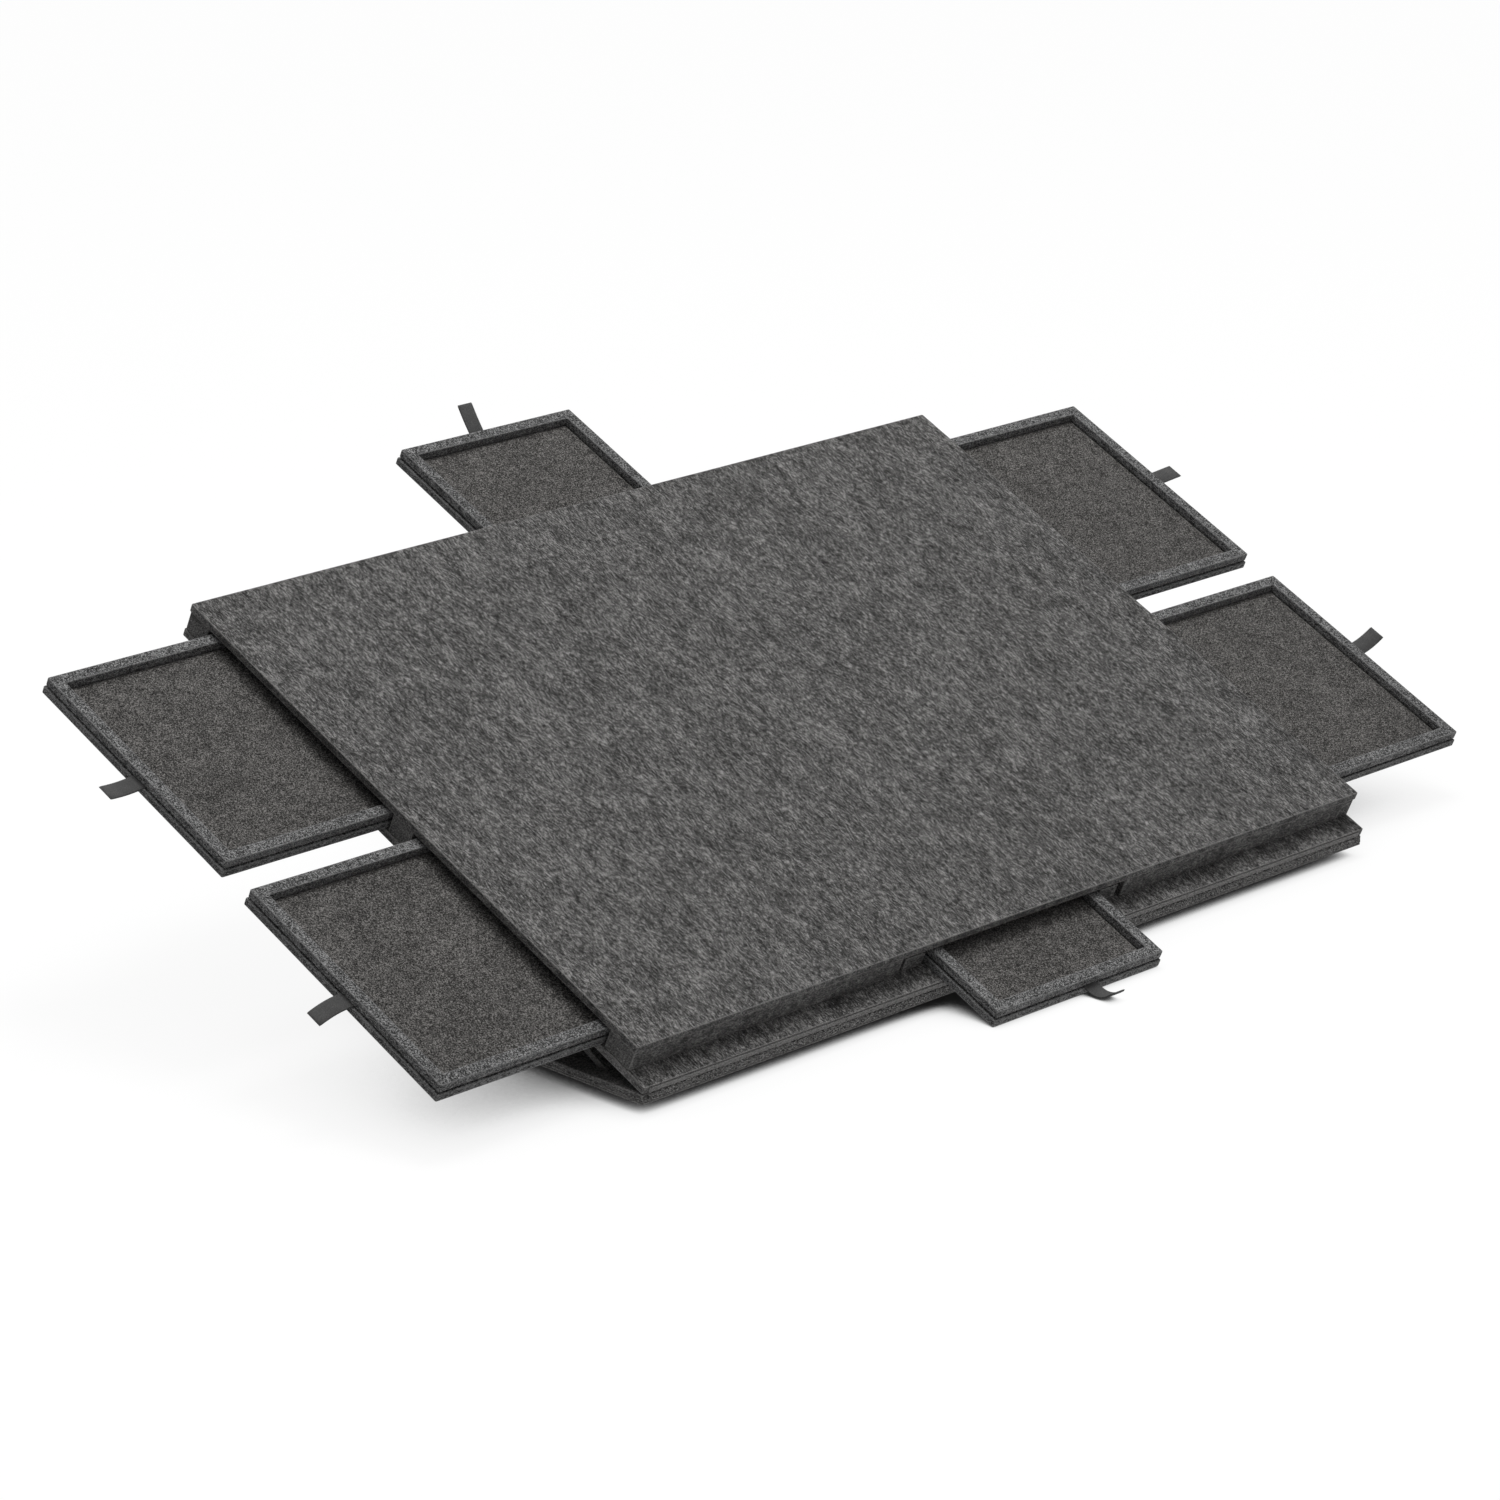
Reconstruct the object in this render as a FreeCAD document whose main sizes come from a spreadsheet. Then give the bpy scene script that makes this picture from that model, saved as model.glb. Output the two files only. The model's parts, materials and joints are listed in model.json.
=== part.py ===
# Tilting jigsaw puzzle table: a felt-covered drawer case hinged along its front edge to a base leaf,
# propped up by a flap that folds out of the base, with six felt-lined drawers that slide out on all sides.
# Millimetres. +X runs to the right along the front edge, +Y to the back, +Z up from the floor.
# The origin is at floor level, under the middle of the front row of feet.
import FreeCAD, Part
import Sketcher
import os

SIZES = {
    # Whole case
    "board_width": 860.0,
    "board_depth": 580.2,
    "front_ledge": 19.6,
    "tilt_angle": 24.4,
    "corner_radius": 2.0,
    "felt_thickness": 1.0,
    # Layers of the case, from the bottom board up
    "bottom_core": 5.7,
    "frame_height": 18.4,
    "top_core": 6.2,
    # Frame between the boards
    "frame_inset": 1.0,
    "front_rail_width": 30.1,
    "middle_rail_width": 25.5,
    "back_rail_width": 24.6,
    "divider_width": 30.0,
    "divider_recess": 1.5,
    "stop_width": 15.0,
    # Drawers
    "middle_drawer_width": 200.0,
    "drawer_gap": 3.0,
    "drawer_end_gap": 4.5,
    "drawer_lift": 0.3,
    "drawer_head_gap": 2.6,
    "drawer_floor": 6.5,
    "rim_width": 12.0,
    "liner_thickness": 0.8,
    "liner_gap": 0.2,
    "face_recess": 1.5,
    "pull_left_back": 168.5,
    "pull_left_front": 171.0,
    "pull_right": 185.5,
    "pull_back": 130.7,
    "floor_clearance": 0.5,
    # Pull tabs
    "tab_width": 16.0,
    "tab_length": 31.0,
    "tab_thickness": 1.6,
    "left_back_tab_angle": -6.0,
    "left_front_tab_angle": -32.0,
    "right_back_tab_angle": 14.0,
    "right_front_tab_angle": 50.0,
    "back_tab_angle": 60.0,
    "front_tab_angle": 52.0,
    # How far each tab sits from the middle of its drawer's face, towards +X or +Y
    "left_back_tab_shift": -7.0,
    "left_front_tab_shift": -7.0,
    "right_back_tab_shift": 8.0,
    "right_front_tab_shift": 12.0,
    "back_tab_shift": -7.0,
    "front_tab_shift": 14.0,
    # Base leaf
    "base_core": 7.0,
    "underlay_thickness": 1.5,
    "foot_height": 10.4,
    "foot_radius": 16.0,
    "foot_sole_radius": 14.0,
    "foot_setback": 45.0,
    "foot_side_setback": 60.0,
    "side_strip_width": 16.5,
    "back_strip_width": 37.5,
    "hinge_gap": 0.3,
    # Cloth hinge along the front edge
    "tape_thickness": 0.6,
    "tape_margin": 0.5,
    "tape_slack": 0.6,
    "tape_end_gap": 6.0,
    # Prop flap, its hinge pins and the grip strip that its tip leans on
    "flap_pivot": 58.0,
    "flap_length": 251.0,
    "flap_gap": 0.5,
    "flap_lift": 0.4,
    "flap_cover_gap": 0.6,
    "tip_gap": 0.3,
    "pin_radius": 1.5,
    "pin_clearance": 0.05,
    "pin_in_strip": 10.0,
    "pin_in_flap": 14.0,
    "grip_length": 400.0,
    "grip_width": 40.0,
    "grip_thickness": 1.2,
    # Extra length of every cutting tool
    "overrun": 1.0,
}

ALONG_X = FreeCAD.Vector(1, 0, 0)
ALONG_Y = FreeCAD.Vector(0, 1, 0)
ALONG_Z = FreeCAD.Vector(0, 0, 1)

document = FreeCAD.newDocument("puzzle_table")
sheet = document.addObject("Spreadsheet::Sheet", "Sizes")
for row, (alias, value) in enumerate(SIZES.items(), start=1):
    sheet.set(f"A{row}", str(value))
    sheet.setAlias(f"A{row}", alias)
document.recompute()

# Every size as text for expressions, and the places that several pieces share, worked out from them
terms = {alias: f"Sizes.{alias}" for alias in SIZES}


def formula(text):
    """An expression whose {names} are filled in, in brackets, so that formulas nest."""
    return f"({text.format(**terms)})"


def number(text):
    """The value that a formula has now."""
    return float(sheet.evalExpression(formula(text)))


for name, text in [
    ("tilt_sine", "sin({tilt_angle} * 1 deg)"),
    ("tilt_cosine", "cos({tilt_angle} * 1 deg)"),
    # The case's own y counts from the hinge line along the bottom board, its own z up from the underside
    ("half_width", "{board_width} / 2"),
    ("bottom_depth", "{front_ledge} + {board_depth}"),
    ("bottom_height", "{bottom_core} + {felt_thickness}"),
    ("frame_top", "{bottom_height} + {frame_height}"),
    ("core_top", "{frame_top} + {top_core}"),
    ("frame_half_width", "{half_width} - {frame_inset}"),
    ("frame_front", "{front_ledge} + {frame_inset}"),
    ("frame_back", "{bottom_depth} - {frame_inset}"),
    ("case_middle", "{front_ledge} + {board_depth} / 2"),
    ("bay_half_width", "{middle_drawer_width} / 2 + {drawer_gap}"),
    ("divider_outside", "{bay_half_width} + {divider_width}"),
    ("rail_widths", "{front_rail_width} + {middle_rail_width} + {back_rail_width}"),
    ("side_bay_width", "({frame_back} - {frame_front} - {rail_widths}) / 2"),
    ("middle_rail_front", "{frame_front} + {front_rail_width} + {side_bay_width}"),
    ("middle_rail_back", "{middle_rail_front} + {middle_rail_width}"),
    ("side_drawer_width", "{side_bay_width} - 2 * {drawer_gap}"),
    ("side_drawer_depth", "{frame_half_width} - {divider_outside} - {face_recess} - {drawer_end_gap}"),
    ("middle_bay_depth", "({frame_back} - {frame_front} - {stop_width}) / 2"),
    ("middle_drawer_depth", "{middle_bay_depth} - {face_recess} - {drawer_end_gap}"),
    ("drawer_low", "{bottom_height} + {drawer_lift}"),
    ("rim_low", "{drawer_low} + {drawer_floor}"),
    ("rim_top", "{frame_top} - {drawer_head_gap}"),
    # The base's y counts from its front edge, its z up from the floor
    ("core_low", "{foot_height} + {underlay_thickness}"),
    ("base_top", "{core_low} + {base_core}"),
    ("hinge_height", "{base_top} + {hinge_gap}"),
    ("flap_radius", "({base_core} - {flap_lift} - {flap_cover_gap}) / 2"),
    ("pivot_height", "{core_low} + {flap_lift} + {flap_radius}"),
    ("pivot_drop", "{hinge_height} - {pivot_height}"),
    ("tip_offset", "{flap_pivot} * {tilt_sine} + {pivot_drop} * {tilt_cosine} - {tip_gap} - {flap_radius}"),
    ("flap_angle", "{tilt_angle} * 1 deg + asin({tip_offset} / {flap_length})"),
    ("tip_forward", "{flap_pivot} + {flap_length} * cos({flap_angle})"),
    ("tip_rise", "{flap_length} * sin({flap_angle})"),
    ("tip_on_case", "{tip_forward} * {tilt_cosine} + ({tip_rise} - {pivot_drop}) * {tilt_sine}"),
    ("window_front", "{flap_pivot} - {flap_radius} - {flap_gap}"),
    ("window_back", "{flap_pivot} + {flap_length} + {flap_radius} + {flap_gap}"),
    ("base_depth", "{window_back} + {back_strip_width}"),
    ("window_half_width", "{half_width} - {side_strip_width}"),
    ("flap_half_width", "{window_half_width} - {flap_gap}"),
    # The front drawer is out until its lower edge is just clear of the floor
    ("front_face", "({floor_clearance} - {hinge_height} - {drawer_low} * {tilt_cosine}) / {tilt_sine}"),
]:
    terms[name] = formula(text)

pieces = []


def piece(thing, label):
    """Names a finished sub-part; the name is also its file's."""
    thing.Label = label
    pieces.append(thing)


def bind(thing, **formulas):
    """Binds properties of a document object to formulas over the sheet."""
    for name, text in formulas.items():
        thing.setExpression(name, formula(text))


def put(thing, x, y, z, axis=ALONG_X, angle="0 deg"):
    """Places an object in the row frame, turned about one axis."""
    thing.Placement = FreeCAD.Placement(FreeCAD.Vector(), FreeCAD.Rotation(axis, 1))
    places = {"Rotation.Angle": angle, "Base.x": x, "Base.y": y, "Base.z": z}
    bind(thing, **{f"Placement.{name}": text for name, text in places.items()})


def put_on_base(thing, x, y, z):
    put(thing, x, f"{y} - {{foot_setback}}", z)


def put_on_case(thing, x, y, z):
    row_y = f"({y}) * {{tilt_cosine}} - ({z}) * {{tilt_sine}} - {{foot_setback}}"
    row_z = f"({y}) * {{tilt_sine}} + ({z}) * {{tilt_cosine}} + {{hinge_height}}"
    put(thing, x, row_y, row_z, ALONG_X, "{tilt_angle} * 1 deg")


def put_on_flap(thing, x, y, z):
    """The flap's own y runs from its pivot to its tip, its own z across its thickness."""
    row_y = f"{{flap_pivot}} + ({y}) * cos({{flap_angle}}) - ({z}) * sin({{flap_angle}}) - {{foot_setback}}"
    row_z = f"{{pivot_height}} + ({y}) * sin({{flap_angle}}) + ({z}) * cos({{flap_angle}})"
    put(thing, x, row_y, row_z, ALONG_X, "{flap_angle}")


def block(name, place, x, y, z):
    """A box between two formulas along each axis."""
    box = document.addObject("Part::Box", name)
    spans = {"Length": x, "Width": y, "Height": z}
    bind(box, **{side: f"({high}) - ({low})" for side, (low, high) in spans.items()})
    place(box, x[0], y[0], z[0])
    return box


def crossbar(name, radius, x, y, z):
    """A round bar along X between two formulas, about a row y and z."""
    bar = document.addObject("Part::Cylinder", name)
    bind(bar, Radius=radius, Height=f"({x[1]}) - ({x[0]})")
    put(bar, x[0], y, z, ALONG_Y, "90 deg")
    return bar


def group(label, solids):
    """Separate solids of one kind, as one sub-part."""
    whole = document.addObject("Part::Compound", label)
    whole.Links = solids
    piece(whole, label)


def cut(whole, tools):
    """A solid less its cutting tools, one after the other."""
    for tool in tools:
        step = document.addObject("Part::Cut", f"{whole.Name}_cut")
        step.Base = whole
        step.Tool = tool
        whole = step
    return whole


def plate(name, place, y, z):
    """A board of the case's full width with rounded corners: a sketched rectangle, padded and filleted."""
    body = document.addObject("PartDesign::Body", name)
    sketch = body.newObject("Sketcher::SketchObject", f"{name}_outline")
    sketch.AttachmentSupport = [
        (feature, "") for feature in body.Origin.OriginFeatures if feature.Role == "XY_Plane"
    ]
    sketch.MapMode = "FlatFace"
    corners = [FreeCAD.Vector(0, 0), FreeCAD.Vector(1, 0), FreeCAD.Vector(1, 1), FreeCAD.Vector(0, 1)]
    for start, end in zip(corners, corners[1:] + corners[:1]):
        sketch.addGeometry(Part.LineSegment(start, end))
    for side, direction in enumerate(["Horizontal", "Vertical", "Horizontal", "Vertical"]):
        sketch.addConstraint(Sketcher.Constraint(direction, side))
        sketch.addConstraint(Sketcher.Constraint("Coincident", side, 2, (side + 1) % len(corners), 1))
    sketch.addConstraint(Sketcher.Constraint("Coincident", 0, 1, -1, 1))
    across = sketch.addConstraint(Sketcher.Constraint("DistanceX", 0, 1, 0, 2, 1))
    along = sketch.addConstraint(Sketcher.Constraint("DistanceY", 1, 1, 1, 2, 1))
    sketch.setExpression(f"Constraints[{across}]", formula("{board_width}"))
    sketch.setExpression(f"Constraints[{along}]", formula(f"({y[1]}) - ({y[0]})"))
    pad = body.newObject("PartDesign::Pad", f"{name}_pad")
    pad.Profile = sketch
    bind(pad, Length=f"({z[1]}) - ({z[0]})")
    document.recompute()
    upright = [
        f"Edge{count}"
        for count, edge in enumerate(pad.Shape.Edges, start=1)
        if edge.tangentAt(edge.FirstParameter).isParallel(ALONG_Z, Part.Precision.angular())
    ]
    rounding = body.newObject("PartDesign::Fillet", f"{name}_corners")
    rounding.Base = (pad, upright)
    bind(rounding, Radius="{corner_radius}")
    body.Tip = rounding
    place(body, "-{half_width}", y[0], z[0])
    return body


def mirrored(span):
    """The same stretch of X on the other side of the middle."""
    return f"-({span[1]})", f"-({span[0]})"


# Base leaf: feet, underlay and the four core strips that leave a window for the folded flap
feet = []
foot_column = "{half_width} - {foot_side_setback}"
for x in [f"-({foot_column})", "0", foot_column]:
    for y in ["{foot_setback}", "{base_depth} - {back_strip_width} / 2"]:
        foot = document.addObject("Part::Cone", "foot")
        bind(foot, Radius1="{foot_sole_radius}", Radius2="{foot_radius}", Height="{foot_height}")
        put_on_base(foot, x, y, "0")
        feet.append(foot)
group("base_feet", feet)
underlay = plate("underlay", put_on_base, ("0", "{base_depth}"), ("{foot_height}", "{core_low}"))
piece(underlay, "base_underlay")

core_level = ("{core_low}", "{base_top}")
full_width = ("-{half_width}", "{half_width}")
front_strip = block("front_strip", put_on_base, full_width, ("0", "{window_front}"), core_level)
piece(front_strip, "base_front_strip")
back_strip = block("back_strip", put_on_base, full_width, ("{window_back}", "{base_depth}"), core_level)
piece(back_strip, "base_back_strip")

# Side strips, with a pin in each that the flap swings on
pivot_row_y = "{flap_pivot} - {foot_setback}"
pins = []
pin_bores = []
right_spans = [
    ("{window_half_width}", "{half_width}"),
    ("{window_half_width} - {overrun}", "{window_half_width} + {pin_in_strip}"),
    ("{flap_half_width} - {pin_in_flap}", "{window_half_width} + {pin_in_strip}"),
    ("{flap_half_width} - {pin_in_flap} - {flap_gap}", "{flap_half_width} + {overrun}"),
]
left_spans = [mirrored(span) for span in right_spans]
for side, spans in [("left", left_spans), ("right", right_spans)]:
    strip_span, hole_span, pin_span, bore_span = spans
    strip = block(f"{side}_strip", put_on_base, strip_span, ("{window_front}", "{window_back}"), core_level)
    hole = crossbar(f"{side}_hole", "{pin_radius}", hole_span, pivot_row_y, "{pivot_height}")
    piece(cut(strip, [hole]), f"base_{side}_strip")
    pins.append(crossbar(f"{side}_pin", "{pin_radius}", pin_span, pivot_row_y, "{pivot_height}"))
    bore_radius = "{pin_radius} + {pin_clearance}"
    pin_bores.append(crossbar(f"{side}_bore", bore_radius, bore_span, pivot_row_y, "{pivot_height}"))
group("flap_pins", pins)

# Prop flap: a board with a round heel about its pins and a round tip under the case
flap_span = ("-{flap_half_width}", "{flap_half_width}")
flap_level = ("-{flap_radius}", "{flap_radius}")
flap_board = block("flap_board", put_on_flap, flap_span, ("0", "{flap_length}"), flap_level)
heel = crossbar("heel", "{flap_radius}", flap_span, pivot_row_y, "{pivot_height}")
tip_row_y = "{tip_forward} - {foot_setback}"
tip = crossbar("tip", "{flap_radius}", flap_span, tip_row_y, "{pivot_height} + {tip_rise}")
flap = document.addObject("Part::MultiFuse", "flap")
flap.Shapes = [flap_board, heel, tip]
flap.Refine = True
piece(cut(flap, pin_bores), "prop_flap")

# Cloth hinge, one leaf on the base's front face and one on the bottom board's
tape_span = ("-{half_width} + {tape_end_gap}", "{half_width} - {tape_end_gap}")
tape_depth = ("-{tape_thickness}", "0")
base_leaf_level = ("{core_low} + {tape_margin}", "{base_top} - {tape_slack}")
base_leaf = block("base_leaf", put_on_base, tape_span, tape_depth, base_leaf_level)
piece(base_leaf, "hinge_tape_base_leaf")
case_leaf_level = ("{tape_slack}", "{bottom_core} - {tape_margin}")
case_leaf = block("case_leaf", put_on_case, tape_span, tape_depth, case_leaf_level)
piece(case_leaf, "hinge_tape_case_leaf")

# Bottom board with its felt, and a rubber strip let into its underside that the flap's tip leans on
grip_span = ("-{grip_length} / 2", "{grip_length} / 2")
grip_reach = ("{tip_on_case} - {grip_width} / 2", "{tip_on_case} + {grip_width} / 2")
bottom_reach = ("0", "{bottom_depth}")
bottom_core = plate("bottom_core", put_on_case, bottom_reach, ("0", "{bottom_core}"))
groove = block("groove", put_on_case, grip_span, grip_reach, ("-{overrun}", "{grip_thickness}"))
piece(cut(bottom_core, [groove]), "bottom_board")
grip = block("grip", put_on_case, grip_span, grip_reach, ("0", "{grip_thickness}"))
piece(grip, "flap_grip_strip")
bottom_felt = plate("bottom_felt", put_on_case, bottom_reach, ("{bottom_core}", "{bottom_height}"))
piece(bottom_felt, "bottom_felt")

# Top board with the felt that the puzzle lies on
top_reach = ("{front_ledge}", "{bottom_depth}")
top_board = plate("top_core", put_on_case, top_reach, ("{frame_top}", "{core_top}"))
piece(top_board, "top_board")
top_felt = plate("top_felt", put_on_case, top_reach, ("{core_top}", "{core_top} + {felt_thickness}"))
piece(top_felt, "top_felt")

# Frame between the boards: outer rails, rails between the side drawers, dividers and the middle stop
frame_level = ("{bottom_height}", "{frame_top}")
rail_span = ("{divider_outside}", "{frame_half_width}")
divider_span = ("{bay_half_width}", "{divider_outside}")
rail_reaches = {
    "front": ("{frame_front}", "{frame_front} + {front_rail_width}"),
    "middle": ("{middle_rail_front}", "{middle_rail_back}"),
    "back": ("{frame_back} - {back_rail_width}", "{frame_back}"),
}
divider_reach = ("{frame_front} + {divider_recess}", "{frame_back} - {divider_recess}")
for side, place_span in [("left", mirrored), ("right", tuple)]:
    for position, reach in rail_reaches.items():
        rail = block(f"{side}_{position}", put_on_case, place_span(rail_span), reach, frame_level)
        piece(rail, f"{side}_{position}_rail")
    divider = block(f"{side}_wall", put_on_case, place_span(divider_span), divider_reach, frame_level)
    piece(divider, f"{side}_divider")
stop_span = ("-{bay_half_width}", "{bay_half_width}")
stop_reach = ("{case_middle} - {stop_width} / 2", "{case_middle} + {stop_width} / 2")
piece(block("stop", put_on_case, stop_span, stop_reach, frame_level), "middle_stop")


def strap(name, root, outward, bend):
    """A pull tab: a strap that leaves the drawer's face square at its root and bends along an arc.
    The root and the outward direction are in the case's own frame, before it tilts."""
    turn = f"abs({bend})"
    middle = f"{{tab_length}} * 180 / (pi * {turn})"
    faces = []
    for face, offset in [("outer", "{tab_thickness} / 2"), ("inner", "-{tab_thickness} / 2")]:
        sector = document.addObject("Part::Cylinder", f"{name}_{face}")
        bind(sector, Radius=f"{middle} + {offset}", Height="{tab_width}", Angle=f"{turn} * 1 deg")
        faces.append(sector)
    upward = 1 if number(bend) > 0 else -1
    towards_root = ALONG_Z * -upward
    across = towards_root.cross(outward)
    centre = FreeCAD.Vector(*[number(text) for text in root]) - towards_root * number(middle)
    corner = centre - across * number("{tab_width} / 2")
    on_case = FreeCAD.Placement(corner, FreeCAD.Rotation(towards_root, outward, across, "XYZ"))
    hinge = FreeCAD.Vector(0, number("-{foot_setback}"), number("{hinge_height}"))
    tilted = FreeCAD.Placement(hinge, FreeCAD.Rotation(ALONG_X, number("{tilt_angle}")))
    for sector in faces:
        sector.Placement = tilted.multiply(on_case)
    return cut(faces[0], faces[1:])


def drawer(name, x, y, outward):
    """A tray: a floor board, a rim of four strips, a felt liner and a pull tab on its outer face."""
    floor = block(f"{name}_floor", put_on_case, x, y, ("{drawer_low}", "{rim_low}"))
    piece(floor, f"{name}_drawer_floor")
    rim_level = ("{rim_low}", "{rim_top}")
    inside_x = (f"{x[0]} + {{rim_width}}", f"{x[1]} - {{rim_width}}")
    inside_y = (f"{y[0]} + {{rim_width}}", f"{y[1]} - {{rim_width}}")
    strips = [
        block(f"{name}_front_strip", put_on_case, x, (y[0], inside_y[0]), rim_level),
        block(f"{name}_back_strip", put_on_case, x, (inside_y[1], y[1]), rim_level),
        block(f"{name}_left_strip", put_on_case, (x[0], inside_x[0]), inside_y, rim_level),
        block(f"{name}_right_strip", put_on_case, (inside_x[1], x[1]), inside_y, rim_level),
    ]
    group(f"{name}_drawer_rim", strips)
    liner_x = (f"{inside_x[0]} + {{liner_gap}}", f"{inside_x[1]} - {{liner_gap}}")
    liner_y = (f"{inside_y[0]} + {{liner_gap}}", f"{inside_y[1]} - {{liner_gap}}")
    liner_level = ("{rim_low}", "{rim_low} + {liner_thickness}")
    piece(block(f"{name}_liner", put_on_case, liner_x, liner_y, liner_level), f"{name}_drawer_liner")
    shift = f"{{{name}_tab_shift}}"
    root_x = {-1: x[0], 0: f"({x[0]} + {x[1]}) / 2 + {shift}", 1: x[1]}[int(outward.x)]
    root_y = {-1: y[0], 0: f"({y[0]} + {y[1]}) / 2 + {shift}", 1: y[1]}[int(outward.y)]
    tab = strap(f"{name}_strap", (root_x, root_y, "{rim_low}"), outward, f"{{{name}_tab_angle}}")
    piece(tab, f"{name}_drawer_tab")


def left_span(pull):
    """The stretch of X of a left drawer that is pulled out so far."""
    face = f"-{{frame_half_width}} + {{face_recess}} - {pull}"
    return face, f"{face} + {{side_drawer_depth}}"


# Six drawers, each pulled out of the case as far as the sheet says
right_face = "{frame_half_width} - {face_recess} + {pull_right}"
front_face = "{front_face}"
back_face = "{frame_back} - {face_recess} + {pull_back}"
right_x = (f"{right_face} - {{side_drawer_depth}}", right_face)
middle_x = ("-{middle_drawer_width} / 2", "{middle_drawer_width} / 2")
front_side = "{middle_rail_front} - {drawer_gap}"
back_side = "{middle_rail_back} + {drawer_gap}"
front_side_y = (f"{front_side} - {{side_drawer_width}}", front_side)
back_side_y = (back_side, f"{back_side} + {{side_drawer_width}}")
drawer("left_back", left_span("{pull_left_back}"), back_side_y, -ALONG_X)
drawer("left_front", left_span("{pull_left_front}"), front_side_y, -ALONG_X)
drawer("right_back", right_x, back_side_y, ALONG_X)
drawer("right_front", right_x, front_side_y, ALONG_X)
drawer("front", middle_x, (front_face, f"{front_face} + {{middle_drawer_depth}}"), -ALONG_Y)
drawer("back", middle_x, (f"{back_face} - {{middle_drawer_depth}}", back_face), ALONG_Y)

document.recompute()
failed = [thing.Name for thing in document.Objects if {"Invalid", "Error"} & set(thing.State)]
unsound = [thing.Label for thing in pieces if thing.Shape.isNull() or not thing.Shape.isValid()]
if failed or unsound:
    raise RuntimeError(f"failed objects {failed}, unsound shapes {unsound}")
os.makedirs("parts", exist_ok=True)
for thing in pieces:
    thing.Shape.exportStep(f"parts/{thing.Label}.step")
print(len(pieces), "sub-parts written; flap angle", round(number("{flap_angle}"), 4))
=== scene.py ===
"""Looks of a tilting puzzle table: felt-wrapped boards and drawers, strap pulls, a cloth hinge, a prop."""

import json
import math

import bmesh
import bpy
import numpy as np
from mathutils import Matrix, Vector, noise


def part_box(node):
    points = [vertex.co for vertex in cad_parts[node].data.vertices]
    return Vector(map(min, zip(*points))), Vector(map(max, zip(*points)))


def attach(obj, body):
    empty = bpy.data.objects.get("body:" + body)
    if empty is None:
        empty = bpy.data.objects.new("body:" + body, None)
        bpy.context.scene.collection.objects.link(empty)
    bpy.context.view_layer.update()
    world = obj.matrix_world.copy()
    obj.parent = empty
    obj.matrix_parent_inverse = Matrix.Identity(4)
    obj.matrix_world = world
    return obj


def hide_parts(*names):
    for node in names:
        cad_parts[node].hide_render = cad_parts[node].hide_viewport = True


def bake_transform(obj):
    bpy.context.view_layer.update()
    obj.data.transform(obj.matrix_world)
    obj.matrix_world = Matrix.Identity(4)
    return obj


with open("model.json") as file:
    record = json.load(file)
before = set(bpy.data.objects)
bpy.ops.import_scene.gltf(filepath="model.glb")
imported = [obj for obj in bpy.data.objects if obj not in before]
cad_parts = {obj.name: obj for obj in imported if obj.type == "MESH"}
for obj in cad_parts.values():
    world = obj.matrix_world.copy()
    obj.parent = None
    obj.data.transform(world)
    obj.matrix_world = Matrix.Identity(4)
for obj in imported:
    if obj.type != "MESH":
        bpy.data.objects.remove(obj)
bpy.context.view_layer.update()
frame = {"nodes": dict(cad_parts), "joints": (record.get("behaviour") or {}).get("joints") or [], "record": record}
scene = bpy.context.scene
nodes = frame["nodes"]
behaviour = frame["record"]["behaviour"]
joints = {joint["name"]: joint for joint in frame["joints"]}
body_of = {node: body for body, members in behaviour["bodies"].items() for node in members}
MM = 0.001
TOUCH = 1e-6

# Frames of the base, the tilted case and the leaning prop flap
TILT = -math.radians(joints["case_tilt"]["range_deg"][0])
LEAN = TILT * behaviour["couplings"][0]["ratio"]
HINGE = Vector(joints["case_tilt"]["pos_m"])
BASE = Matrix.Identity(4)
CASE = Matrix.Translation(HINGE) @ Matrix.Rotation(TILT, 4, "X")
FLAP = Matrix.Translation(Vector(joints["flap_fold"]["pos_m"])) @ Matrix.Rotation(LEAN, 4, "X")
UP = Vector((0, 0, 1))
FRONT = Vector((0, -1, 0))

# Felt-wrapped boards: the roundings of corners, edges and seams, and the steps in each
BOARD_CORNER = 1.6 * MM
BOARD_EDGE = 0.7 * MM
RAIL_EDGE = 0.9 * MM
SHEET_EDGE = 0.35 * MM
DRAWER_CORNER = 1.4 * MM
DRAWER_EDGE = 0.55 * MM
FLOOR_SEAM = 0.7 * MM
CORNER_STEPS = 5
EDGE_STEPS = 3
SEAM_STEPS = 2
SHARP = math.radians(60)

# Drawer rims: set in from the floor panel, over a slot that the pull's strap comes out of
RIM_INSET = 1.0 * MM
RIM_EDGE = 1.0 * MM
RIM_CORNER_STEPS = 4
RIM_SLOT = 1.6 * MM
RIM_SLOT_DEPTH = 5.0 * MM

# Dark gaps at a divider's inner face, its outer face and its top
DIVIDER_SLOT = 1.5 * MM
DIVIDER_GAP = 6.0 * MM
DIVIDER_TOP_GAP = 4.5 * MM

# The felt's surface: creases between plies on upright faces, the cells it dips in, and how far its paler edges
# reach, partly from handling and partly a painted highlight
CREASE_HALF = 0.35 * MM
CREASE_DEPTH = 0.28 * MM
SIDE_LEAN = 0.3
FELT_CELL = 16 * MM
SUPPORT = 1.8 * MM
LEAST_SPAN = 2.5 * SUPPORT
CUT_TOUCH = 1e-7
DIP_DEPTH = 0.16 * MM
DIP_PITCH = 55 * MM
WEAR_AND_HIGHLIGHT_REACH = 1.8 * MM

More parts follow.
